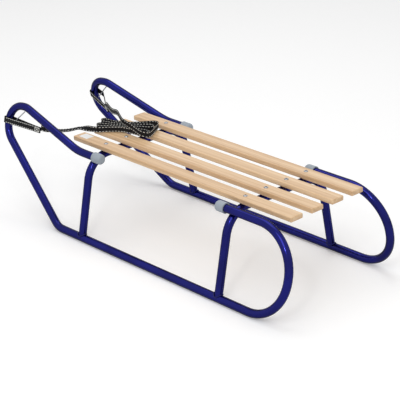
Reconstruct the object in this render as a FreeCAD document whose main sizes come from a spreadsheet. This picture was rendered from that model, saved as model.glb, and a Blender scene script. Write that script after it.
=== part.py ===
import FreeCAD, Part
import math
import os

import Sketcher

# A child's metal sled: two bent side frames of round steel tube, two arches that carry four
# wooden slats, plastic end caps, and a webbing pull strap stored folded on the seat.
# Frame of the part: +X points forward, +Y to the sled's left, +Z up. The origin is on the ground
# under the middle of the sled. Lengths are in millimetres and angles in degrees.

SIZES = {
    # steel tube
    "tube_dia": 20.0,             # outside diameter of every frame tube
    "seat_gap": 0.3,              # clearance between pieces that rest on or are welded to each other
    # side frame, drawn in its own leaning plane: x along the sled, s up the plane from the runner
    "track_width": 386.0,         # between the centre lines of the two runners
    "frame_lean": 12.6,           # the frames lean in towards the seat
    "rail_height": 208.5,         # s of the upper rails
    "front_rail_end": 134.0,      # x of the open end of the front rail
    "front_rail_corner": 226.0,   # x where the front rail turns up into the horn
    "horn_top_x": 443.0,          # upper corner of the horn
    "horn_top_s": 268.7,
    "horn_tip_x": 593.0,          # corner of the nose, outside the bend
    "horn_tip_s": 252.8,
    "runner_front_x": 265.0,      # corner where the nose tube meets the runner
    "rear_end_x": -508.3,         # centre line of the rear end
    "rear_rail_end": -272.0,      # x of the open end of the rear rail
    "rail_bend": 160.0,           # centre-line bend radii
    "horn_bend": 54.0,
    "nose_bend": 53.3,
    "runner_bend": 48.0,
    "rear_bend": 102.0,
    # arches that carry the seat
    "front_arch_x": 171.6,
    "rear_arch_x": -311.4,
    "seat_height": 232.7,         # top of the slats above the ground
    "leg_splay": 11.4,            # lean of the legs
    "leg_inset": 1.5,             # how far inside the runner's centre line a leg's axis lands
    "foot_lift": 4.0,             # end of a leg above the runner's centre line
    # slats
    "slat_width": 38.0,
    "slat_thick": 12.7,
    "slat_front_x": 276.2,
    "slat_rear_x": -470.2,
    "slat_pitch": 66.3,           # outer slat to inner slat
    "slat_pair_pitch": 67.4,      # between the two inner slats
    "slat_round": 3.0,            # rounding of the slats' edges
    # end caps
    "cap_dia": 26.0,
    "cap_length": 29.0,
    "cap_wall": 3.0,              # thickness of the closed end
    "cap_gap": 0.15,              # radial clearance between a cap's bore and the tube
    "cap_round": 8.0,             # rounding of the closed end
    # wire across the nose bend that keeps the pull strap in place
    "stay_dia": 3.0,
    "stay_offset": 25.0,          # from the centre of the nose bend
    "stay_turn": 47.0,            # direction of that offset, up from forward
    # pull strap
    "strap_width": 15.0,
    "strap_thick": 2.0,
    "loop_gap": 1.0,              # between the sewn loop and the tube or wire inside it
    "loop_height": 221.0,         # s of the loops on the nose bends
    "loop_reach": 122.0,          # from the nose tube to the end of the loop's sewn tail
    "loop_sewn": 22.0,            # length of that tail
    "lead_gap": 2.3,              # from the middle of that tail's end to the start of the free strap
    "loop_swing_left": 3.0,       # how far each tail points in towards the seat
    "loop_swing_right": 24.0,
    "bundle_x": 206.0,            # middle of the folded strap on the seat
    "bundle_y": 4.0,
    "bundle_turn": 30.0,          # the bundle's long axis, turned from the sled's
    "bundle_length": 154.0,
    "bundle_front_width": 74.0,   # the folds fan out at both ends and are pinched in the middle
    "bundle_waist": 38.0,
    "bundle_rear_width": 88.0,
    "bundle_rise": 18.0,          # top of the folds above the slats
    "bundle_air": 0.4,            # clearance under the folds
}

# Routes of the strap's two free leads from the loop's tail, where they start, to the bundle: (x, y, z).
LEAD_LEFT = [(368.0, 124.0, 223.0), (350.0, 106.0, 216.5), (328.0, 86.0, 219.0),
             (305.0, 70.0, 230.0), (284.0, 58.0, 241.0)]
LEAD_RIGHT = [(370.0, -79.0, 230.0), (345.0, -66.0, 231.5), (318.0, -52.0, 238.0),
              (290.0, -39.0, 247.5), (264.0, -28.0, 254.0), (236.0, -17.0, 255.0)]

doc = FreeCAD.newDocument("metal_sled")
sheet = doc.addObject("Spreadsheet::Sheet", "sizes")
for row, (alias, value) in enumerate(SIZES.items(), start=1):
    sheet.set(f"A{row}", alias)
    sheet.set(f"B{row}", str(value))
    sheet.setAlias(f"B{row}", alias)
doc.recompute()

TUBE_R = "sizes.tube_dia / 2"
BAR_Z = "(sizes.seat_height - sizes.slat_thick - sizes.seat_gap - sizes.tube_dia / 2)"
FOOT_Y = "(sizes.track_width / 2 - sizes.leg_inset)"
SHOULDER_Y = f"({FOOT_Y} - tan(sizes.leg_splay * 1 deg) * ({BAR_Z} - sizes.tube_dia / 2))"
RAIL_Y = "(sizes.track_width / 2 - sizes.rail_height * sin(sizes.frame_lean * 1 deg))"
RAIL_Z = "(sizes.tube_dia / 2 + sizes.rail_height * cos(sizes.frame_lean * 1 deg))"


def number(expression):
    """The value of an expression of the sheet's sizes."""
    result = sheet.evalExpression(str(expression))
    return float(getattr(result, "Value", result))


def origin_plane(body, role):
    return next(item for item in body.Origin.OriginFeatures if item.Role == role)


def new_body(name):
    body = doc.addObject("PartDesign::Body", name)
    body.Label = name
    return body


def new_sketch(body, name, role, offset="0"):
    """A sketch on one of the body's origin planes, moved along its normal by an expression."""
    sketch = body.newObject("Sketcher::SketchObject", name)
    sketch.AttachmentSupport = [(origin_plane(body, role), "")]
    sketch.MapMode = "FlatFace"
    sketch.setExpression("AttachmentOffset.Base.z", offset)
    return sketch


def bind(sketch, kind, *where):
    """Adds a distance, radius or diameter constraint whose value is the last argument's expression."""
    *where, expression = where
    value = number(expression)
    index = sketch.addConstraint(Sketcher.Constraint(kind, *where, value))
    sketch.setExpression(f"Constraints[{index}]", str(expression))
    return index


def bind_point(sketch, geometry, position, u, v):
    """Holds a point at (u, v) from the sketch's origin. Both are expressions."""
    for kind, expression in (("DistanceX", u), ("DistanceY", v)):
        bind(sketch, kind, -1, 1, geometry, position, expression)


def fillet_points(corners, index, radius):
    """Centre and tangent points of the arc of a radius that rounds one corner of a route."""
    before, corner, after = (FreeCAD.Vector(*corners[index + step], 0) for step in (-1, 0, 1))
    towards = (before - corner).normalize()
    away = (after - corner).normalize()
    half = towards.getAngle(away) / 2
    reach = radius / math.tan(half)
    centre = corner + (towards + away).normalize() * (radius / math.sin(half))
    return centre, corner + towards * reach, corner + away * reach


def route_sketch(body, name, role, corners, radii):
    """An open path of straight runs through the corners, each inner corner rounded by its radius."""
    sketch = new_sketch(body, name, role)
    points = [(number(u), number(v)) for u, v in corners]
    arcs = [fillet_points(points, i, number(radii[i - 1])) for i in range(1, len(points) - 1)]
    starts = [FreeCAD.Vector(*points[0], 0)] + [arc[2] for arc in arcs]
    ends = [arc[1] for arc in arcs] + [FreeCAD.Vector(*points[-1], 0)]
    lines = [sketch.addGeometry(Part.LineSegment(a, b)) for a, b in zip(starts, ends)]
    bends = []
    for i, (centre, begin, finish) in enumerate(arcs):
        turns_left = (begin - centre).cross(finish - centre).z > 0
        low, high = (begin, finish) if turns_left else (finish, begin)
        circle = Part.Circle(centre, FreeCAD.Vector(0, 0, 1), (begin - centre).Length)
        bend = sketch.addGeometry(Part.ArcOfCircle(circle, circle.parameter(low), circle.parameter(high)))
        bends.append((bend, 1, 2) if turns_left else (bend, 2, 1))
    for i, (bend, first, last) in enumerate(bends):
        sketch.addConstraint(Sketcher.Constraint("Tangent", lines[i], 2, bend, first))
        sketch.addConstraint(Sketcher.Constraint("Tangent", bend, last, lines[i + 1], 1))
        bind(sketch, "Radius", bend, radii[i])
        mark = sketch.addGeometry(Part.Point(FreeCAD.Vector(*points[i + 1], 0)), True)
        bind_point(sketch, mark, 1, *corners[i + 1])
        sketch.addConstraint(Sketcher.Constraint("PointOnObject", mark, 1, lines[i]))
        sketch.addConstraint(Sketcher.Constraint("PointOnObject", mark, 1, lines[i + 1]))
    bind_point(sketch, lines[0], 1, *corners[0])
    bind_point(sketch, lines[-1], 2, *corners[-1])
    return sketch


def circle_sketch(body, name, role, centre, radius, offset="0"):
    sketch = new_sketch(body, name, role, offset)
    u, v = centre
    circle = Part.Circle(FreeCAD.Vector(number(u), number(v), 0), FreeCAD.Vector(0, 0, 1), number(radius))
    index = sketch.addGeometry(circle)
    bind_point(sketch, index, 3, u, v)
    bind(sketch, "Radius", index, radius)
    return sketch


def polygon_sketch(body, name, role, corners, offset="0"):
    """A closed outline of straight edges through corners given as pairs of expressions."""
    sketch = new_sketch(body, name, role, offset)
    points = [FreeCAD.Vector(number(u), number(v), 0) for u, v in corners]
    edges = [sketch.addGeometry(Part.LineSegment(a, b)) for a, b in zip(points, points[1:] + points[:1])]
    for i, edge in enumerate(edges):
        sketch.addConstraint(Sketcher.Constraint("Coincident", edges[i - 1], 2, edge, 1))
        bind_point(sketch, edge, 1, *corners[i])
    return sketch


def add_pipe(body, name, profile, spine):
    pipe = body.newObject("PartDesign::AdditivePipe", name)
    pipe.Profile = profile
    pipe.Spine = spine
    return pipe


def place(item, base, turns=()):
    """Sets a placement: turns are (axis, degrees) pairs, applied first to last."""
    rotation = FreeCAD.Rotation()
    for axis, degrees in turns:
        rotation = FreeCAD.Rotation(FreeCAD.Vector(*axis), degrees) * rotation
    item.Placement = FreeCAD.Placement(FreeCAD.Vector(*base), rotation)


FRAME_CORNERS = [
    ("sizes.front_rail_end", "sizes.rail_height"),
    ("sizes.front_rail_corner", "sizes.rail_height"),
    ("sizes.horn_top_x", "sizes.horn_top_s"),
    ("sizes.horn_tip_x", "sizes.horn_tip_s"),
    ("sizes.runner_front_x", "0"),
    ("sizes.rear_end_x", "0"),
    ("sizes.rear_end_x", "sizes.rail_height"),
    ("sizes.rear_rail_end", "sizes.rail_height"),
]
FRAME_BENDS = ["sizes.rail_bend", "sizes.horn_bend", "sizes.nose_bend", "sizes.runner_bend",
               "sizes.rear_bend", "sizes.rear_bend"]


def lean(item, side, base=(0, 0, 0), turns=()):
    """Places an item drawn in the side frame's plane (x, s) on one side of the sled."""
    tilt = FreeCAD.Rotation(FreeCAD.Vector(1, 0, 0), side * number("sizes.frame_lean"))
    origin = FreeCAD.Vector(0, side * number("sizes.track_width / 2"), number(TUBE_R))
    place(item, base, turns)
    item.Placement = FreeCAD.Placement(origin, tilt) * item.Placement


def side_frame(name, side):
    """One tube: front rail, horn, nose, runner, rear bend and rear rail."""
    body = new_body(name)
    spine = route_sketch(body, name + "_path", "XZ_Plane", FRAME_CORNERS, FRAME_BENDS)
    profile = circle_sketch(body, name + "_section", "YZ_Plane", ("0", "sizes.rail_height"),
                            TUBE_R, "sizes.front_rail_end")
    add_pipe(body, name + "_tube", profile, spine)
    lean(body, side)
    return body


def shoulder_bend():
    """Radius of an arch's shoulder that just clears the side frame's rail, as an expression.

    The bend is tangent to the bar and to the leg, so its centre moves along a line as the radius
    grows. The radius where the rail's centre is one diameter and a gap from the bend's centre
    line is the positive root of a quadratic.
    """
    reach = "(sizes.tube_dia + sizes.seat_gap)"
    slope = "(1 / cos(sizes.leg_splay * 1 deg) - tan(sizes.leg_splay * 1 deg))"
    out = f"({RAIL_Y} - {SHOULDER_Y})"
    up = f"({RAIL_Z} - {BAR_Z})"
    half_b = f"({out} * {slope} + {up} - {reach})"
    a = f"(pow({slope}; 2))"
    c = f"(pow({out}; 2) + pow({up}; 2) - pow({reach}; 2))"
    return f"((-1 * {half_b} + sqrt(pow({half_b}; 2) - {a} * {c})) / {a})"


def arch(name, x):
    """A tube bent into an arch: a level bar under the slats and two splayed legs."""
    body = new_body(name)
    foot_z = "(sizes.tube_dia / 2 + sizes.foot_lift)"
    foot_y = f"({FOOT_Y} - tan(sizes.leg_splay * 1 deg) * sizes.foot_lift)"
    spine = route_sketch(body, name + "_path", "YZ_Plane",
                         [("0", BAR_Z), (SHOULDER_Y, BAR_Z), (foot_y, foot_z)], [shoulder_bend()])
    profile = circle_sketch(body, name + "_section", "XZ_Plane", ("0", BAR_Z), TUBE_R)
    half = add_pipe(body, name + "_half", profile, spine)
    doc.recompute()
    whole = body.newObject("PartDesign::Mirrored", name + "_whole")
    whole.Originals = [half]
    whole.MirrorPlane = (origin_plane(body, "XZ_Plane"), [""])
    body.Tip = whole
    doc.recompute()
    for side, word in ((1, "left"), (-1, "right")):
        centre = (f"{side} * sizes.track_width / 2", TUBE_R)
        seat = circle_sketch(body, f"{name}_{word}_seat", "YZ_Plane", centre, f"{TUBE_R} + sizes.seat_gap")
        cope = body.newObject("PartDesign::Pocket", f"{name}_{word}_cope")
        cope.Profile = seat
        cope.Type = "ThroughAll"
        cope.Midplane = True
    body.setExpression("Placement.Base.x", x)
    return body


def slat(name, y):
    """A straight board along the seat, with every edge rounded."""
    body = new_body(name)
    half = "sizes.slat_width / 2"
    outline = polygon_sketch(body, name + "_outline", "XY_Plane",
                             [("sizes.slat_rear_x", f"-{half}"), ("sizes.slat_front_x", f"-{half}"),
                              ("sizes.slat_front_x", half), ("sizes.slat_rear_x", half)])
    board = body.newObject("PartDesign::Pad", name + "_board")
    board.Profile = outline
    board.setExpression("Length", "sizes.slat_thick")
    doc.recompute()
    rounding = body.newObject("PartDesign::Fillet", name + "_rounding")
    rounding.Base = (board, [f"Edge{i + 1}" for i in range(len(board.Shape.Edges))])
    rounding.setExpression("Radius", "sizes.slat_round")
    body.setExpression("Placement.Base.y", y)
    body.setExpression("Placement.Base.z", "sizes.seat_height - sizes.slat_thick")
    return body


def end_cap(name, side, end, direction):
    """A plastic sleeve with a closed, rounded end over the open end of a rail."""
    body = new_body(name)
    bore = f"({TUBE_R} + sizes.cap_gap)"
    depth = "(sizes.cap_length - sizes.cap_wall)"
    outline = polygon_sketch(body, name + "_profile", "XZ_Plane",
                             [("0", bore), ("0", "sizes.cap_dia / 2"),
                              ("sizes.cap_length", "sizes.cap_dia / 2"), ("sizes.cap_length", "0"),
                              (depth, "0"), (depth, bore)])
    sleeve = body.newObject("PartDesign::Revolution", name + "_sleeve")
    sleeve.Profile = outline
    sleeve.ReferenceAxis = (next(item for item in body.Origin.OriginFeatures if item.Role == "X_Axis"), [""])
    sleeve.Angle = 360
    doc.recompute()
    rim = [f"Edge{i + 1}" for i, edge in enumerate(sleeve.Shape.Edges)
           if edge.BoundBox.XMin > number(depth) + 0.1
           and edge.BoundBox.ZLength > number("sizes.cap_dia") * 0.9]
    rounding = body.newObject("PartDesign::Fillet", name + "_rounding")
    rounding.Base = (sleeve, rim)
    rounding.setExpression("Radius", "sizes.cap_round")
    turn = 0 if direction > 0 else 180
    place(body, (0, side * number(RAIL_Y), number(RAIL_Z)), [((0, 0, 1), turn)])
    body.setExpression("Placement.Base.x", f"{end} - {direction} * ({depth} - sizes.cap_gap)")
    body.setExpression("Placement.Base.y", f"{side} * {RAIL_Y}")
    body.setExpression("Placement.Base.z", RAIL_Z)
    return body


def strap_stay(name, side):
    """The straight wire across the inside of the nose bend."""
    corners = [(number(x), number(s)) for x, s in FRAME_CORNERS]
    centre = fillet_points(corners, 3, number("sizes.nose_bend"))[0]
    inner = "(sizes.nose_bend - sizes.tube_dia / 2 - sizes.seat_gap)"
    half = f"sqrt(pow({inner}; 2) - pow(sizes.stay_offset + sizes.stay_dia / 2; 2))"
    wire = doc.addObject("Part::Cylinder", name)
    wire.Label = name
    wire.setExpression("Radius", "sizes.stay_dia / 2")
    wire.setExpression("Height", f"2 * {half}")
    turn = math.radians(number("sizes.stay_turn"))
    offset = number("sizes.stay_offset")
    along = FreeCAD.Vector(-math.sin(turn), 0, math.cos(turn))
    middle = FreeCAD.Vector(centre.x + offset * math.cos(turn), 0, centre.y + offset * math.sin(turn))
    base = middle - along * number(half)
    lean(wire, side, base, [((0, 1, 0), -number("sizes.stay_turn"))])
    return wire


def tangent_normal(first, second):
    """Outward normal of the belt run from one circle (x, y, radius) to the next, anticlockwise."""
    step = FreeCAD.Vector(second[0] - first[0], second[1] - first[1], 0)
    angle = math.atan2(step.y, step.x) - math.acos((first[2] - second[2]) / step.Length)
    return FreeCAD.Vector(math.cos(angle), math.sin(angle), 0)


def belt_order(circles, extra):
    """Adds a circle to a belt's anticlockwise circles where it stands outside one of their runs."""
    for i, (first, second) in enumerate(zip(circles, circles[1:] + circles[:1])):
        normal = tangent_normal(first, second)
        offset = FreeCAD.Vector(extra[0] - first[0], extra[1] - first[1], 0)
        if offset.dot(normal) + extra[2] > first[2]:
            return circles[:i + 1] + [extra] + circles[i + 1:]
    return circles


def band_outline(circles):
    """A wire drawn tight round circles (x, y, radius) given anticlockwise."""
    runs = []
    for first, second in zip(circles, circles[1:] + circles[:1]):
        out = tangent_normal(first, second)
        runs.append([FreeCAD.Vector(x, y, 0) + out * radius for x, y, radius in (first, second)])
    edges = []
    for circle, before, after in zip(circles, runs[-1:] + runs[:-1], runs):
        centre = FreeCAD.Vector(circle[0], circle[1], 0)
        begin, finish = (math.atan2(end.y - centre.y, end.x - centre.x) for end in (before[1], after[0]))
        angle = begin + (finish - begin) % (2 * math.pi) / 2
        middle = centre + FreeCAD.Vector(math.cos(angle), math.sin(angle), 0) * circle[2]
        edges.append(Part.Arc(before[1], middle, after[0]).toShape())
        edges.append(Part.LineSegment(after[0], after[1]).toShape())
    return Part.Wire(edges)


def loop_seat():
    """Where the loops go round: the nose tube's x at their height, and x of the stay from it."""
    corners = [(number(x), number(s)) for x, s in FRAME_CORNERS]
    centre = fillet_points(corners, 3, number("sizes.nose_bend"))[0]
    rise = number("sizes.loop_height") - centre.y
    nose_x = centre.x + math.sqrt(number("sizes.nose_bend") ** 2 - rise ** 2)
    turn = math.radians(number("sizes.stay_turn"))
    stay_x = []
    for height in (rise - number("sizes.strap_width / 2"), rise + number("sizes.strap_width / 2")):
        stay_x.append(centre.x - nose_x + (number("sizes.stay_offset") - height * math.sin(turn)) / math.cos(turn))
    return nose_x, stay_x


def loop_heading(side, swing):
    """Direction of a loop's tail in the plane across the nose tube."""
    angle = math.radians(number(swing))
    return FreeCAD.Vector(-math.cos(angle), -side * math.sin(angle), 0)


def loop_tail_end(side, swing):
    """Middle of the end face of a loop's sewn tail, on the sled."""
    tail = FreeCAD.Vector(loop_seat()[0], 0, number("sizes.loop_height"))
    tail += loop_heading(side, swing) * number("sizes.loop_reach")
    marker = doc.addObject("Part::Feature", "marker")
    lean(marker, side, tail)
    base = marker.Placement.Base
    doc.removeObject(marker.Name)
    return base


def strap_loop(name, side, swing):
    """The strap's sewn end: a band round the nose tube and the stay, closing into a double tail."""
    nose_x, stay_x = loop_seat()
    thick, gap, reach, sewn = (number(f"sizes.{word}") for word in
                               ("strap_thick", "loop_gap", "loop_reach", "loop_sewn"))
    heading = loop_heading(side, swing)
    throat = heading * (reach - sewn)
    tube = (0.0, 0.0, number(TUBE_R) + gap)
    point = (throat.x, throat.y, 0.2)
    order = [tube, point]
    for x in stay_x:
        order = belt_order(order, (x, 0.0, number("sizes.stay_dia / 2") + gap))
    width = FreeCAD.Vector(0, 0, number("sizes.strap_width"))
    outer = Part.Face(band_outline([(x, y, radius + thick) for x, y, radius in order])).extrude(width)
    inner = Part.Face(band_outline(order)).extrude(width)
    across = FreeCAD.Vector(-heading.y, heading.x, 0) * thick
    end = heading * reach
    tail = Part.Face(Part.makePolygon([throat + across, end + across, end - across, throat - across,
                                       throat + across])).extrude(width)
    loop = doc.addObject("Part::Feature", name)
    loop.Label = name
    loop.Shape = outer.fuse(tail.cut(outer)).cut(inner).removeSplitter()
    lean(loop, side, (nose_x, 0, number("sizes.loop_height") - width.z / 2))
    return loop


def strap_lead(name, side, swing, route):
    """A free stretch of the strap, as a round cord of the webbing's own cross-section area."""
    start = loop_tail_end(side, swing)
    points = [FreeCAD.Vector(*point) for point in route]
    radius = math.sqrt(number("sizes.strap_width * sizes.strap_thick") / math.pi)
    points.insert(0, start + (points[0] - start).normalize() * number("sizes.lead_gap"))
    start = points[0]
    edges = []
    for before, corner, after in zip(points, points[1:], points[2:]):
        towards = (before - corner)
        away = (after - corner)
        run = 0.45 * min(towards.Length, away.Length)
        half = towards.getAngle(away) / 2
        towards.normalize()
        away.normalize()
        bend = run * math.tan(half)
        centre = corner + (towards + away).normalize() * (bend / math.sin(half))
        begin, finish = corner + towards * run, corner + away * run
        middle = centre + (corner - centre).normalize() * bend
        edges.append(Part.LineSegment(start, begin).toShape())
        edges.append(Part.Arc(begin, middle, finish).toShape())
        start = finish
        print(f"{name} bend radius {bend:.0f}")
    edges.append(Part.LineSegment(start, points[-1]).toShape())
    path = Part.Wire(edges)
    section = Part.Wire(Part.makeCircle(radius, points[0], points[1] - points[0]))
    lead = doc.addObject("Part::Feature", name)
    lead.Label = name
    lead.Shape = path.makePipeShell([section], True, False)
    print(f"{name} length {path.Length:.0f} volume ratio {lead.Shape.Volume / (math.pi * radius ** 2 * path.Length):.4f}")
    return lead


def strap_bundle(name):
    """The outer shape of the strap's folds, pinched in the middle, lying on the slats."""
    body = new_body(name)
    half = "sizes.bundle_length / 2"
    ends = [(f"-{half}", "sizes.bundle_rear_width / 2"), ("0", "sizes.bundle_waist / 2"),
            (half, "sizes.bundle_front_width / 2")]
    outline = polygon_sketch(body, name + "_outline", "XY_Plane",
                             [(x, f"-1 * {y}") for x, y in ends] + ends[::-1])
    folds = body.newObject("PartDesign::Pad", name + "_folds")
    folds.Profile = outline
    folds.setExpression("Length", "sizes.bundle_rise")
    place(body, (0, 0, 0), [((0, 0, 1), number("sizes.bundle_turn"))])
    body.setExpression("Placement.Base.x", "sizes.bundle_x")
    body.setExpression("Placement.Base.y", "sizes.bundle_y")
    body.setExpression("Placement.Base.z", "sizes.seat_height + sizes.bundle_air")
    return body


nodes = []
for side, word in ((1, "left"), (-1, "right")):
    nodes.append(side_frame(f"side_frame_{word}", side))
    nodes.append(end_cap(f"front_cap_{word}", side, "sizes.front_rail_end", -1))
    nodes.append(end_cap(f"rear_cap_{word}", side, "sizes.rear_rail_end", 1))
    nodes.append(strap_stay(f"strap_stay_{word}", side))
    nodes.append(strap_loop(f"pull_strap_loop_{word}", side, f"sizes.loop_swing_{word}"))
nodes.append(strap_lead("pull_strap_lead_left", 1, "sizes.loop_swing_left", LEAD_LEFT))
nodes.append(strap_lead("pull_strap_lead_right", -1, "sizes.loop_swing_right", LEAD_RIGHT))
nodes.append(strap_bundle("pull_strap_bundle"))
nodes.append(arch("front_arch", "sizes.front_arch_x"))
nodes.append(arch("rear_arch", "sizes.rear_arch_x"))
inner = "sizes.slat_pair_pitch / 2"
for number_on_seat, y in enumerate((f"{inner} + sizes.slat_pitch", inner, f"-{inner}",
                                    f"-{inner} - sizes.slat_pitch"), start=1):
    nodes.append(slat(f"seat_slat_{number_on_seat}", y))

doc.recompute()
for item in doc.Objects:
    if "Invalid" in item.State or "Error" in item.State:
        raise RuntimeError(f"{item.Name} failed: {item.State}")
os.makedirs("parts", exist_ok=True)
for node in nodes:
    if node.Shape.isNull() or not node.Shape.isValid():
        raise RuntimeError(f"{node.Label} has no valid shape")
    node.Shape.exportStep(f"parts/{node.Label}.step")
    box = node.Shape.BoundBox
    print(f"{node.Label:18s} volume {node.Shape.Volume:10.0f} solids {len(node.Shape.Solids)}"
          f"  x {box.XMin:7.1f} {box.XMax:7.1f}  y {box.YMin:7.1f} {box.YMax:7.1f}  z {box.ZMin:6.1f} {box.ZMax:6.1f}")
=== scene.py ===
"""Blender scene for the metal sled: materials, small fittings and the pull strap around the CAD frame."""

import math

import bmesh
import bpy
from mathutils import Matrix, Vector
from mathutils.bvhtree import BVHTree


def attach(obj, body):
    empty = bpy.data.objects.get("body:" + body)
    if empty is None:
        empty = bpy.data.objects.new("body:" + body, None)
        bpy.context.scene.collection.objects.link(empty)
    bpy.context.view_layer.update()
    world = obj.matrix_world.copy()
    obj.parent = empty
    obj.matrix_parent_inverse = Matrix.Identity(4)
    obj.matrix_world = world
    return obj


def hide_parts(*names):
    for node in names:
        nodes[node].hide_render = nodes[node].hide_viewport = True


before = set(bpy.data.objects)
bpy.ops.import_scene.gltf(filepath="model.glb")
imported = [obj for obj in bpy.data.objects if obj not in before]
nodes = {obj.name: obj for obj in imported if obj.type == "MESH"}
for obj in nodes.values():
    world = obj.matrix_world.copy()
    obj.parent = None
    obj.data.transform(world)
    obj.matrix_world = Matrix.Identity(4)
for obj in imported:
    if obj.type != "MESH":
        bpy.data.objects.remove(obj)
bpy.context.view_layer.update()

MM = 0.001
UP = Vector((0, 0, 1))

# Sizes and places of the CAD model that the pieces here are set to, in metres.
SLAT_TOP = 0.2327
SLAT_Y = (-0.1000, -0.0337, 0.0337, 0.1000)
ARCH_X = (0.1716, -0.3114)
RUNNER_Y = 0.193          # a runner's centre line from the sled's middle
RUNNER_Z = 0.010          # that line above the ground
LEAN = math.radians(12.6)
LOOP_NOSE_X = 0.5079      # centre of the nose tube at the loops' height
LOOP_HEIGHT = 0.221       # up the leaning side frame from the runner
LOOP_SWING = {"left": math.radians(3.0), "right": math.radians(24.0)}
STRAP_WIDTH = 0.015
STRAP_THICK = 0.002


# ---------------------------------------------------------------- materials

def new_material(name, base, roughness, metallic=0.0, coat=0.0):
    """A Principled material; returns it with its node tree, shader and object coordinates."""
    material = bpy.data.materials.new(name)
    material.use_nodes = True
    tree = material.node_tree
    shader = tree.nodes["Principled BSDF"]
    shader.inputs["Base Color"].default_value = (*base, 1)
    shader.inputs["Roughness"].default_value = roughness
    shader.inputs["Metallic"].default_value = metallic
    shader.inputs["Coat Weight"].default_value = coat
    shader.inputs["Coat Roughness"].default_value = 0.06
    coords = tree.nodes.new("ShaderNodeTexCoord")
    return material, tree, shader, coords.outputs["Object"]


def add_noise(tree, coords, scale, detail=4.0, stretch=(1, 1, 1)):
    """Noise over object coordinates, stretched along the axes; returns its value."""
    mapping = tree.nodes.new("ShaderNodeMapping")
    mapping.inputs["Scale"].default_value = stretch
    noise = tree.nodes.new("ShaderNodeTexNoise")
    noise.inputs["Scale"].default_value = scale
    noise.inputs["Detail"].default_value = detail
    tree.links.new(coords, mapping.inputs["Vector"])
    tree.links.new(mapping.outputs["Vector"], noise.inputs["Vector"])
    return noise.outputs["Fac"]


def add_ramp(tree, value, stops):
    """Colour ramp over a value; stops are (position, colour)."""
    ramp = tree.nodes.new("ShaderNodeValToRGB")
    while len(ramp.color_ramp.elements) < len(stops):
        ramp.color_ramp.elements.new(0.5)
    for element, (position, colour) in zip(ramp.color_ramp.elements, stops):
        element.position = position
        element.color = (*colour, 1)
    tree.links.new(value, ramp.inputs["Fac"])
    return ramp.outputs["Color"]


def add_bump(tree, shader, height, strength, distance):
    """Bump from a height value into the shader's normal."""
    bump = tree.nodes.new("ShaderNodeBump")
    bump.inputs["Strength"].default_value = strength
    bump.inputs["Distance"].default_value = distance
    tree.links.new(height, bump.inputs["Height"])
    tree.links.new(bump.outputs["Normal"], shader.inputs["Normal"])


def mottled(name, dark, light, scale, roughness, metallic=0.0, coat=0.0, bump=0.1, stretch=(1, 1, 1),
            rim=(1, 1, 1)):
    """A material whose colour wanders between two tones, with a fine bump and uneven gloss."""
    material, tree, shader, coords = new_material(name, dark, roughness, metallic, coat)
    shader.inputs["Specular Tint"].default_value = (*rim, 1)
    broad = add_noise(tree, coords, scale, 4.0, stretch)
    tree.links.new(add_ramp(tree, broad, [(0.3, dark), (0.7, light)]), shader.inputs["Base Color"])
    fine = add_noise(tree, coords, scale * 9, 3.0, stretch)
    spread = tree.nodes.new("ShaderNodeMapRange")
    spread.inputs["To Min"].default_value = roughness - 0.05
    spread.inputs["To Max"].default_value = roughness + 0.07
    tree.links.new(fine, spread.inputs["Value"])
    tree.links.new(spread.outputs["Result"], shader.inputs["Roughness"])
    add_bump(tree, shader, fine, bump, 0.0004)
    return material


def wood_material():
    """Pale varnished beech: long grain lines, short flecks and a slow change of tone."""
    material, tree, shader, coords = new_material("beech", (0.7, 0.5, 0.3), 0.42, coat=0.25)
    grain = add_noise(tree, coords, 30.0, 6.0, (0.05, 3.2, 3.2))
    colour = add_ramp(tree, grain, [(0.30, (0.56, 0.345, 0.175)), (0.52, (0.70, 0.47, 0.265)),
                                    (0.75, (0.80, 0.58, 0.36))])
    flecks = add_noise(tree, coords, 120.0, 2.0, (0.12, 2.2, 2.2))
    fleck = add_ramp(tree, flecks, [(0.60, (1, 1, 1)), (0.72, (0.80, 0.70, 0.60))])
    blend = tree.nodes.new("ShaderNodeMix")
    blend.data_type = "RGBA"
    blend.blend_type = "MULTIPLY"
    blend.inputs["Factor"].default_value = 0.7
    tree.links.new(colour, blend.inputs["A"])
    tree.links.new(fleck, blend.inputs["B"])
    tree.links.new(blend.outputs["Result"], shader.inputs["Base Color"])
    add_bump(tree, shader, grain, 0.25, 0.0005)
    return material


def webbing_material():
    """Black woven nylon: fine crossing ribs over a slightly uneven black."""
    material, tree, shader, coords = new_material("black_webbing", (0.008, 0.008, 0.009), 0.75)
    shader.inputs["Specular IOR Level"].default_value = 0.18
    tone = add_noise(tree, coords, 60.0)
    colour = add_ramp(tree, tone, [(0.3, (0.004, 0.004, 0.005)), (0.7, (0.013, 0.013, 0.015))])
    tree.links.new(colour, shader.inputs["Base Color"])
    ribs = []
    for direction in ("X", "Z"):
        wave = tree.nodes.new("ShaderNodeTexWave")
        wave.bands_direction = direction
        wave.inputs["Scale"].default_value = 190.0
        tree.links.new(coords, wave.inputs["Vector"])
        ribs.append(wave.outputs["Fac"])
    product = tree.nodes.new("ShaderNodeMath")
    product.operation = "MULTIPLY"
    tree.links.new(ribs[0], product.inputs[0])
    tree.links.new(ribs[1], product.inputs[1])
    add_bump(tree, shader, product.outputs["Value"], 0.5, 0.0005)
    return material


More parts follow.
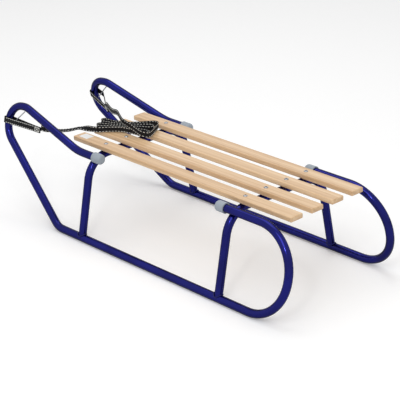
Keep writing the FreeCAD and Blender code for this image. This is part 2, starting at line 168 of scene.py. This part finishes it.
# The record's slots, and the weld, which is painted like the tubes.
MATERIALS = {
    "tube_paint": mottled("blue_paint", (0.006, 0.007, 0.105), (0.009, 0.011, 0.170), 14.0, 0.16,
                          metallic=0.85, coat=0.22, bump=0.03, rim=(0.02, 0.025, 0.16)),
    "slat_wood": wood_material(),
    "cap_plastic": mottled("grey_plastic", (0.27, 0.31, 0.35), (0.34, 0.38, 0.43), 40.0, 0.5, bump=0.2),
    "stay_steel": mottled("steel_wire", (0.42, 0.43, 0.45), (0.60, 0.61, 0.63), 60.0, 0.3, metallic=1.0),
    "webbing": webbing_material(),
    "stitching": mottled("pale_thread", (0.70, 0.70, 0.66), (0.86, 0.86, 0.82), 300.0, 0.7, bump=0.3),
    "zinc": mottled("zinc_plate", (0.24, 0.25, 0.27), (0.42, 0.43, 0.46), 90.0, 0.3, metallic=1.0),
    "blank_label": mottled("blank_label", (0.74, 0.74, 0.73), (0.80, 0.80, 0.79), 25.0, 0.45, bump=0.05),
    "weld": mottled("painted_weld", (0.006, 0.007, 0.07), (0.010, 0.012, 0.12), 300.0, 0.3,
                    metallic=0.7, coat=0.3, bump=0.5, rim=(0.05, 0.06, 0.30)),
}
# The slot of each CAD node, by a word in its name.
NODE_SLOTS = {"side_frame": "tube_paint", "arch": "tube_paint", "seat_slat": "slat_wood",
              "cap": "cap_plastic", "strap_stay": "stay_steel", "pull_strap": "webbing"}


def set_material(piece, name):
    """Gives a piece one material and no other."""
    piece.data.materials.clear()
    piece.data.materials.append(MATERIALS[name])


for node_name, node in nodes.items():
    word = next(key for key in NODE_SLOTS if key in node_name)
    set_material(node, NODE_SLOTS[word])


# ---------------------------------------------------------------- pieces

def add_piece(name, mesh, material):
    """Puts a finished bmesh or mesh into the scene as a piece of the sled."""
    if isinstance(mesh, bmesh.types.BMesh):
        built, mesh = mesh, bpy.data.meshes.new(name)
        built.to_mesh(mesh)
        built.free()
    piece = bpy.data.objects.new(name, mesh)
    bpy.context.scene.collection.objects.link(piece)
    set_material(piece, material)
    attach(piece, "root")
    return piece


def add_box(mesh, centre, along, across, up, size):
    """One small box in a bmesh, given its axes and its whole size along each."""
    corners = []
    for i in (-0.5, 0.5):
        for j in (-0.5, 0.5):
            for k in (-0.5, 0.5):
                corners.append(mesh.verts.new(centre + along * i * size[0] + across * j * size[1]
                                              + up * k * size[2]))
    for face in ((0, 1, 3, 2), (4, 6, 7, 5), (0, 4, 5, 1), (2, 3, 7, 6), (0, 2, 6, 4), (1, 5, 7, 3)):
        mesh.faces.new([corners[i] for i in face])


TUBE_SIDES = 10


def add_tube(mesh, points, radius):
    """A round tube closed on itself along points, in a bmesh."""
    rings = []
    for i, point in enumerate(points):
        along = (points[(i + 1) % len(points)] - points[i - 1]).normalized()
        side = along.cross(UP)
        side.normalize()
        up = side.cross(along)
        ring = []
        for k in range(TUBE_SIDES):
            angle = 2 * math.pi * k / TUBE_SIDES
            ring.append(mesh.verts.new(point + (side * math.cos(angle) + up * math.sin(angle)) * radius))
        rings.append(ring)
    for first, second in zip(rings, rings[1:] + rings[:1]):
        for k in range(TUBE_SIDES):
            after = (k + 1) % TUBE_SIDES
            mesh.faces.new((first[k], first[after], second[after], second[k])).smooth = True


SCREW_TOP = 2.4           # height of a head, mm
SCREW_PROFILE = [(1.6, 2.3), (3.0, 2.0), (4.3, 1.4), (5.2, 0.6), (5.5, 0.1)]   # radius, height, mm
SCREW_SIDES = 28
# Painted shade of a cross recess: two near-black bars set into the head, since the recess itself is not cut.
RECESS_SHADE_HEIGHT = 1.9 * MM
RECESS_SHADE_SIZE = (5.0 * MM, 1.0 * MM, 1.1 * MM)


def add_screw_head(mesh, base):
    """A domed screw head turned about the point that it stands on."""
    rings = []
    for radius, height in SCREW_PROFILE:
        ring = []
        for k in range(SCREW_SIDES):
            angle = 2 * math.pi * k / SCREW_SIDES
            offset = Vector((radius * math.cos(angle), radius * math.sin(angle), height))
            ring.append(mesh.verts.new(base + offset * MM))
        rings.append(ring)
    top = mesh.verts.new(base + Vector((0, 0, SCREW_TOP * MM)))
    for k in range(SCREW_SIDES):
        mesh.faces.new((top, rings[0][k], rings[0][(k + 1) % SCREW_SIDES])).smooth = True
    for first, second in zip(rings, rings[1:]):
        for k in range(SCREW_SIDES):
            after = (k + 1) % SCREW_SIDES
            mesh.faces.new((first[k], second[k], second[after], first[after])).smooth = True
    mesh.faces.new(rings[-1][::-1])


def screw_heads():
    """Eight domed screw heads, one where each slat meets each arch, with painted shade of each cross recess:
    two near-black bars.
    """
    heads = bmesh.new()
    recess_shade = bmesh.new()
    for i, x in enumerate(ARCH_X):
        for j, y in enumerate(SLAT_Y):
            base = Vector((x, y, SLAT_TOP))
            add_screw_head(heads, base)
            turn = 0.5 + 1.3 * i + 0.7 * j      # no two screws stopped at the same angle
            for angle in (turn, turn + math.pi / 2):
                along = Vector((math.cos(angle), math.sin(angle), 0))
                across = Vector((-along.y, along.x, 0))
                # painted shade: a near-black bar where the cross recess would be
                add_box(recess_shade, base + UP * RECESS_SHADE_HEIGHT, along, across, UP, RECESS_SHADE_SIZE)
    add_piece("slat_screws", heads, "zinc")
    add_piece("screw_recess_shade", recess_shade, "webbing")


# The weld bead round a leg's foot, mm.
WELD_Y = 191.2            # the foot's centre from the sled's middle
WELD_RADIUS = 10.6
WELD_RIPPLE = 0.35
WELD_RIPPLES = 11
WELD_SADDLE = 11.2        # the runner's radius with half the bead on it
WELD_BEAD = 1.7
WELD_STEPS = 48


def weld_beads():
    """Painted weld beads where the arches' legs stand on the runners."""
    beads = bmesh.new()
    for x in ARCH_X:
        for side in (1, -1):
            points = []
            for k in range(WELD_STEPS):
                angle = 2 * math.pi * k / WELD_STEPS
                reach = WELD_RADIUS + WELD_RIPPLE * math.sin(WELD_RIPPLES * angle)
                local = reach * math.sin(angle)
                height = RUNNER_Z / MM + math.sqrt(max(0.0, WELD_SADDLE ** 2 - (0.93 * local) ** 2))
                points.append(Vector((x / MM + reach * math.cos(angle), side * WELD_Y + local, height)) * MM)
            add_tube(beads, points, WELD_BEAD * MM)
    add_piece("weld_beads", beads, "weld")


LABEL_X = 0.247
LABEL_SIZE = (0.030, 0.024, 0.0003)
LABEL_LIFT = 0.00025


def blank_label():
    """A bare sticker near the front of the near slat."""
    label = bmesh.new()
    centre = Vector((LABEL_X, SLAT_Y[-1], SLAT_TOP + LABEL_LIFT))
    add_box(label, centre, Vector((1, 0, 0)), Vector((0, 1, 0)), UP, LABEL_SIZE)
    add_piece("blank_label", label, "blank_label")


# ---------------------------------------------------------------- pull strap

# Free leads between the sewn loops and the bundle, mm. The left one keeps within 7 mm of the CAD lead, and the
# right one within 15 mm, which it reaches where it crosses the bundle.
LEAD_LEFT = [(385, 136, 230.2), (368, 124, 226), (350, 106, 223), (328, 86, 225), (308, 72, 233)]
LEAD_RIGHT = [(236, -3, 258), (264, -20, 257.5), (290, -36, 250.5), (318, -50, 241), (345, -65, 234.5),
              (370, -79, 231.5), (395, -91.5, 231.6)]

# The folded bundle, in mm: u runs along it towards its front, v across it.
BUNDLE_CENTRE = Vector((206, 4))
BUNDLE_TURN = math.radians(30)
BUNDLE_Z = 241.4
RUNS = (1.0, 0.5, 0.0, -0.5, -1.0)       # v of each run, as a share of the half width
RUN_STEPS = 8
FRONT_HALF, WAIST_HALF, REAR_HALF = 34.0, 17.0, 41.0
WAIST_U, FRONT_U, REAR_U, WRAP_U = 8.0, 66.0, -58.0, -76.0
PINCH = 1.5                              # how suddenly the bundle widens from its waist
BUNDLE_ENTRY = (88, 22, 238)             # u, v, z where the left lead comes in
CROSSING = [(-68, -41, BUNDLE_Z), (WRAP_U, -32, BUNDLE_Z), (WRAP_U, -10, BUNDLE_Z), (WRAP_U, 14, BUNDLE_Z),
            (WRAP_U, 36, BUNDLE_Z), (-70, 48, 243), (-54, 48, 247), (-36, 38, 253), (-16, 24, 257.5),
            (6, 8, 258.5)]               # u, v, z of the strand round the rear and over the waist

# The left lead turns from its edge to lie nearly flat and back, in metres from its start.
LEAD_TWIST = math.radians(-80)
TWIST_START, TWIST_END, TWIST_BACK = 0.035, 0.150, 0.05

# Raised dashes of thread, in metres: length, width and height.
STITCH = (0.0045, 0.0012, 0.0005)
STITCH_PITCH = 0.0070
FIRST_STITCH = 0.004                     # from the strap's start
STITCH_EDGE = 0.0054                     # from the middle of the webbing
STITCH_LIFT = 0.0001


def bundle_point(u, v, z=BUNDLE_Z):
    """A point of the folded bundle: u along it, v across it, mm."""
    along = Vector((math.cos(BUNDLE_TURN), math.sin(BUNDLE_TURN)))
    across = Vector((-along.y, along.x))
    flat = BUNDLE_CENTRE + along * u + across * v
    return (flat.x, flat.y, z)


def bundle_half(u):
    """Half width of the bundle at u: pinched at the waist."""
    if u > WAIST_U:
        return WAIST_HALF + (FRONT_HALF - WAIST_HALF) * ((u - WAIST_U) / (FRONT_U - WAIST_U)) ** PINCH
    return WAIST_HALF + (REAR_HALF - WAIST_HALF) * ((WAIST_U - u) / (WAIST_U - REAR_U)) ** PINCH


def strap_route():
    """Control points of the whole strap between its two sewn tails."""
    route = list(LEAD_LEFT)
    route.append(bundle_point(*BUNDLE_ENTRY))
    for i, share in enumerate(RUNS):
        stations = [FRONT_U + (REAR_U - FRONT_U) * k / RUN_STEPS for k in range(RUN_STEPS + 1)]
        if i % 2:
            stations.reverse()
        route += [bundle_point(u, share * bundle_half(u)) for u in stations]
        if i + 1 == len(RUNS):
            break
        end = stations[-1]
        half = bundle_half(end)
        radius = half / (len(RUNS) - 1)
        way = 1 if end > 0 else -1
        for angle in (30, 60, 90, 120, 150):
            turn = math.radians(angle)
            middle = (share + RUNS[i + 1]) / 2 * half
            route.append(bundle_point(end + way * radius * math.sin(turn), middle + radius * math.cos(turn)))
    route += [bundle_point(*place) for place in CROSSING]
    return route + LEAD_RIGHT


def smooth_path(route):
    """Points along one NURBS line that follows the route, in metres."""
    curve = bpy.data.curves.new("strap_line", "CURVE")
    curve.dimensions = "3D"
    spline = curve.splines.new("NURBS")
    spline.points.add(len(route) - 1)
    for point, place in zip(spline.points, route):
        point.co = (*(Vector(place) * MM), 1)
    spline.order_u = 3
    spline.use_endpoint_u = True
    spline.resolution_u = 8
    holder = bpy.data.objects.new("strap_line", curve)
    bpy.context.scene.collection.objects.link(holder)
    mesh = bpy.data.meshes.new_from_object(holder)
    points = [vertex.co.copy() for vertex in mesh.vertices]
    bpy.data.objects.remove(holder)
    bpy.data.meshes.remove(mesh)
    return points


def strap_axes(path):
    """Along, across and through directions of the strap: on edge, but nearly flat along the left lead."""
    axes = []
    travelled = 0.0
    for i in range(len(path)):
        along = (path[min(i + 1, len(path) - 1)] - path[max(i - 1, 0)]).normalized()
        travelled += (path[i] - path[max(i - 1, 0)]).length
        through = along.cross(UP).normalized()
        share = min(1.0, travelled / TWIST_START) * min(1.0, max(0.0, (TWIST_END - travelled) / TWIST_BACK))
        through.rotate(Matrix.Rotation(LEAD_TWIST * share * share * (3 - 2 * share), 3, along))
        axes.append((along, through.cross(along), through))
    return axes


EDGE_FLAT, EDGE_TURN = 0.0008, 0.0002    # where the webbing's rounded edge begins, and its shoulder


def strap_mesh(path):
    """Flat webbing with rounded edges, swept along the path."""
    half_width, half_thick = STRAP_WIDTH / 2, STRAP_THICK / 2
    section = [(half_width - EDGE_FLAT, half_thick), (half_width - EDGE_TURN, half_thick * 0.7),
               (half_width, 0), (half_width - EDGE_TURN, -half_thick * 0.7),
               (half_width - EDGE_FLAT, -half_thick)]
    section += [(-a, -b) for a, b in section]
    mesh = bmesh.new()
    rings = []
    for point, (_, across, through) in zip(path, strap_axes(path)):
        rings.append([mesh.verts.new(point + across * a + through * b) for a, b in section])
    count = len(section)
    for first, second in zip(rings, rings[1:]):
        for k in range(count):
            after = (k + 1) % count
            mesh.faces.new((first[k], first[after], second[after], second[k])).smooth = True
    mesh.faces.new(rings[0][::-1])
    mesh.faces.new(rings[-1])
    bmesh.ops.recalc_face_normals(mesh, faces=mesh.faces)
    return mesh


def strap_stitches(path):
    """Raised dashes of thread along both edges of the strap, on both faces."""
    mesh = bmesh.new()
    axes = strap_axes(path)
    travelled, due = 0.0, FIRST_STITCH
    for i in range(1, len(path)):
        travelled += (path[i] - path[i - 1]).length
        if travelled < due:
            continue
        due = travelled + STITCH_PITCH
        along, across, through = axes[i]
        for edge in (-STITCH_EDGE, STITCH_EDGE):
            for face in (-1, 1):
                centre = path[i] + across * edge + through * face * (STRAP_THICK / 2 + STITCH_LIFT)
                add_box(mesh, centre, along, across, through, STITCH)
    return mesh


# Box and cross stitching on a loop's tail, in metres from the nose tube's centre along the tail.
TAIL_BOX_NEAR, TAIL_BOX_FAR, TAIL_BOX_HALF = 0.103, 0.120, 0.0052
TAIL_PITCH = 0.0036
TAIL_LIFT = 0.0021
TAIL_STITCH = (0.0030, 0.0012, 0.0006)
LOOP_DASHES = 14
LOOP_DASH_FROM = 0.096                   # first dash of the loop, back from the tail
RAY_START = 0.04                         # clear of the loop, from where its surface is looked for


def tail_stitches(side, swing, band):
    """Box and cross stitching on a loop's sewn tail, and dashes along both edges of its band."""
    mesh = bmesh.new()
    lift = Vector((0, -side * math.sin(LEAN), math.cos(LEAN)))
    level = Vector((0, math.cos(LEAN), side * math.sin(LEAN)))
    along = Vector((-math.cos(swing), 0, 0)) - level * side * math.sin(swing)
    through = along.cross(lift)
    nose = Vector((LOOP_NOSE_X, side * (RUNNER_Y - LOOP_HEIGHT * math.sin(LEAN)),
                   RUNNER_Z + LOOP_HEIGHT * math.cos(LEAN)))
    near, far, half = TAIL_BOX_NEAR, TAIL_BOX_FAR, TAIL_BOX_HALF
    lines = [((near, -half), (far, -half)), ((near, half), (far, half)), ((near, -half), (near, half)),
             ((far, -half), (far, half)), ((near, -half), (far, half)), ((near, half), (far, -half))]
    for (u0, v0), (u1, v1) in lines:
        start = nose + along * u0 + lift * v0
        end = nose + along * u1 + lift * v1
        heading = (end - start).normalized()
        dashes = max(2, round((end - start).length / TAIL_PITCH))
        for k in range(dashes):
            middle = start.lerp(end, (k + 0.5) / dashes)
            for face in (-1, 1):
                add_box(mesh, middle + through * face * TAIL_LIFT, heading, heading.cross(through), through,
                        TAIL_STITCH)
    surface = BVHTree.FromPolygons([v.co for v in band.vertices], [list(p.vertices) for p in band.polygons])
    for face in (-1, 1):
        for edge in (-STITCH_EDGE, STITCH_EDGE):
            for k in range(LOOP_DASHES):
                start = nose + along * (LOOP_DASH_FROM - STITCH_PITCH * k) + lift * edge
                start += through * face * RAY_START
                place, normal, _, _ = surface.ray_cast(start, -through * face)
                if place is not None:
                    run = lift.cross(normal).normalized()
                    add_box(mesh, place + normal * STITCH_LIFT, run, lift, normal, STITCH)
    return mesh


def sewn_loop(word, side):
    """The sewn loop, in the CAD loop's own shape, and its stitching."""
    node = nodes[f"pull_strap_loop_{word}"]
    mesh = node.data.copy()
    mesh.transform(node.matrix_world)
    loop = add_piece(f"strap_loop_{word}", mesh, "webbing")
    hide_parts(f"pull_strap_loop_{word}")
    dashes = tail_stitches(side, LOOP_SWING[word], mesh)
    return [loop, add_piece(f"loop_stitches_{word}", dashes, "stitching")]


screw_heads()
weld_beads()
blank_label()
sewn_ends = sewn_loop("left", 1) + sewn_loop("right", -1)
strap_path = smooth_path(strap_route())
strap = add_piece("pull_strap", strap_mesh(strap_path), "webbing")
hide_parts("pull_strap_lead_left", "pull_strap_lead_right", "pull_strap_bundle")
stitches = add_piece("strap_stitches", strap_stitches(strap_path), "stitching")


# ---------------------------------------------------------------- floor, light and camera

FLOOR_SIZE = 30
FLOOR_GLOW = 0.16        # what the floor adds for the camera alone, to stand near white
WORLD_LIGHT = 0.62
AIM = (0, 0, 0.15)       # what the lamps point at

# The camera's lens in mm, its place, and its axes: right, up and back.
CAMERA_LENS = 133.52
CAMERA_SENSOR = 36.0
CAMERA_PLACE = (-2.4822, 2.2628, 1.5326)
CAMERA_AXES = (Vector((-0.6896, -0.7237, -0.0258)), Vector((0.2679, -0.2880, 0.9194)),
               Vector((-0.6728, 0.6271, 0.3925)))


def studio_material():
    """Pale floor that keeps the sled's shadow and is nearly white to the camera."""
    material = bpy.data.materials.new("studio_floor")
    material.use_nodes = True
    shader = material.node_tree.nodes["Principled BSDF"]
    shader.inputs["Base Color"].default_value = (0.9, 0.9, 0.9, 1)
    shader.inputs["Roughness"].default_value = 0.9
    shader.inputs["Specular IOR Level"].default_value = 0.1
    shader.inputs["Emission Color"].default_value = (1, 1, 1, 1)
    rays = material.node_tree.nodes.new("ShaderNodeLightPath")
    glow = material.node_tree.nodes.new("ShaderNodeMath")
    glow.operation = "MULTIPLY"
    glow.inputs[1].default_value = FLOOR_GLOW
    material.node_tree.links.new(rays.outputs["Is Camera Ray"], glow.inputs[0])
    material.node_tree.links.new(glow.outputs["Value"], shader.inputs["Emission Strength"])
    return material


def add_floor():
    """The floor that the sled stands on."""
    mesh = bmesh.new()
    bmesh.ops.create_grid(mesh, x_segments=1, y_segments=1, size=FLOOR_SIZE)
    data = bpy.data.meshes.new("floor")
    mesh.to_mesh(data)
    mesh.free()
    floor = bpy.data.objects.new("floor", data)
    floor.data.materials.append(studio_material())
    bpy.context.scene.collection.objects.link(floor)


def add_world():
    """Soft even light, with a white background for the camera and for reflections."""
    world = bpy.data.worlds.new("studio")
    bpy.context.scene.world = world
    world.use_nodes = True
    tree = world.node_tree
    light = tree.nodes["Background"]
    light.inputs["Color"].default_value = (1, 1, 1, 1)
    light.inputs["Strength"].default_value = WORLD_LIGHT
    seen = tree.nodes.new("ShaderNodeBackground")
    seen.inputs["Color"].default_value = (1, 1, 1, 1)
    seen.inputs["Strength"].default_value = 1.0
    rays = tree.nodes.new("ShaderNodeLightPath")
    total = rays.outputs["Is Camera Ray"]
    for name in ("Is Glossy Ray", "Is Transmission Ray"):
        add = tree.nodes.new("ShaderNodeMath")
        add.operation = "MAXIMUM"
        tree.links.new(total, add.inputs[0])
        tree.links.new(rays.outputs[name], add.inputs[1])
        total = add.outputs["Value"]
    mix = tree.nodes.new("ShaderNodeMixShader")
    tree.links.new(total, mix.inputs["Fac"])
    tree.links.new(light.outputs["Background"], mix.inputs[1])
    tree.links.new(seen.outputs["Background"], mix.inputs[2])
    tree.links.new(mix.outputs["Shader"], tree.nodes["World Output"].inputs["Surface"])


def add_lamp(name, place, size, power):
    """A square soft lamp pointed at the sled."""
    lamp = bpy.data.lights.new(name, "AREA")
    lamp.shape = "SQUARE"
    lamp.size = size
    lamp.energy = power
    holder = bpy.data.objects.new(name, lamp)
    holder.location = place
    holder.rotation_euler = (Vector(AIM) - Vector(place)).to_track_quat("-Z", "Y").to_euler()
    bpy.context.scene.collection.objects.link(holder)


def add_camera():
    """The camera at the sled's near front."""
    data = bpy.data.cameras.new("camera")
    data.lens = CAMERA_LENS
    data.sensor_width = CAMERA_SENSOR
    camera = bpy.data.objects.new("camera", data)
    turn = Matrix(CAMERA_AXES).transposed().to_4x4()
    camera.matrix_world = Matrix.Translation(CAMERA_PLACE) @ turn
    bpy.context.scene.collection.objects.link(camera)
    bpy.context.scene.camera = camera


add_floor()
add_world()
add_lamp("key_light", (-1.2, 1.6, 2.6), 1.6, 20)
add_lamp("spark_light", (-1.6, 2.4, 2.2), 0.3, 9)
add_lamp("top_light", (0.6, -0.4, 2.8), 2.0, 20)
add_camera()
bpy.context.scene.view_settings.view_transform = "Standard"
